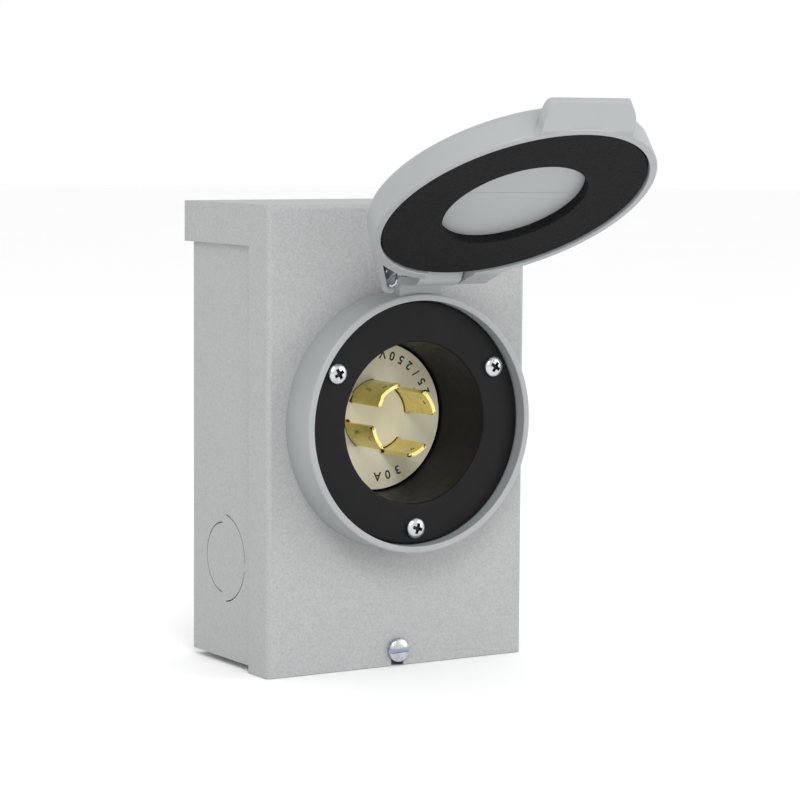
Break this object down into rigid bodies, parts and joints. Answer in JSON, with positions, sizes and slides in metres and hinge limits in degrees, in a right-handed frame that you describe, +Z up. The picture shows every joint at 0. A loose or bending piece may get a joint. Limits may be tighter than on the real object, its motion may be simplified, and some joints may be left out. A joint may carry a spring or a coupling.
{
  "type": "generator inlet box",
  "caption": "Folded steel wall box with a hooded cover, a round collar with a sealed flip lid, and a recessed four-blade locking power inlet for a generator cord.",
  "frame": {"origin": "centre of the four wall-mounting holes, on the wall plane", "axes": "+X to the right seen from the front, -Y out of the wall towards the user, +Z up"},
  "size_m": [0.119, 0.1998, 0.2251],
  "materials": {
    "powder_coat": "light grey textured powder coat on folded steel",
    "collar_plastic": "light grey satin moulded plastic",
    "black_nylon": "satin black moulded nylon",
    "cream_nylon": "cream moulded nylon, semi-gloss",
    "foam_rubber": "black closed-cell foam",
    "brass": "bright stamped brass",
    "zinc": "bright zinc plate",
    "green_zinc": "green dyed zinc plate"
  },
  "bodies": {
    "box": {"back_box": "powder_coat", "knockout_rings": "powder_coat", "knockout_slugs": "powder_coat", "ground_screw": "green_zinc"},
    "cover_screw": {"cover_screw": "zinc"},
    "cover": {"front_cover": "powder_coat", "collar_gasket": "foam_rubber", "inlet_collar": "collar_plastic", "flange_gasket": "foam_rubber", "inlet_housing": "black_nylon", "inlet_face": "cream_nylon", "terminal_body": "cream_nylon", "body_screws": "zinc", "blade_ground": "brass", "blade_neutral": "brass", "blade_line_x": "brass", "blade_line_y": "brass", "wire_clamps": "brass", "terminal_screws_line": "brass", "terminal_screw_neutral": "zinc", "terminal_screw_ground": "green_zinc", "flange_screws": "zinc", "flange_nuts": "zinc"},
    "lid": {"flip_lid": "collar_plastic", "lid_liner": "collar_plastic", "lid_gasket": "foam_rubber", "hinge_pin": "zinc", "lid_spring": "zinc"}
  },
  "joints": [
    {"name": "lid_hinge", "type": "hinge", "parent": "cover", "child": "lid", "pos_m": [0, -0.0942, 0.0674], "axis": [-1, 0, 0], "range_deg": [-121.5, 18.5]},
    {"name": "cover_lift", "type": "slide", "parent": "box", "child": "cover", "axis": [0, 0, 1], "range_m": [0, 0.014]},
    {"name": "cover_screw_turn", "type": "hinge", "parent": "box", "child": "cover_screw", "pos_m": [0, -0.0695, -0.0857], "axis": [0, -1, 0], "range_deg": [0, 720]}
  ]
}
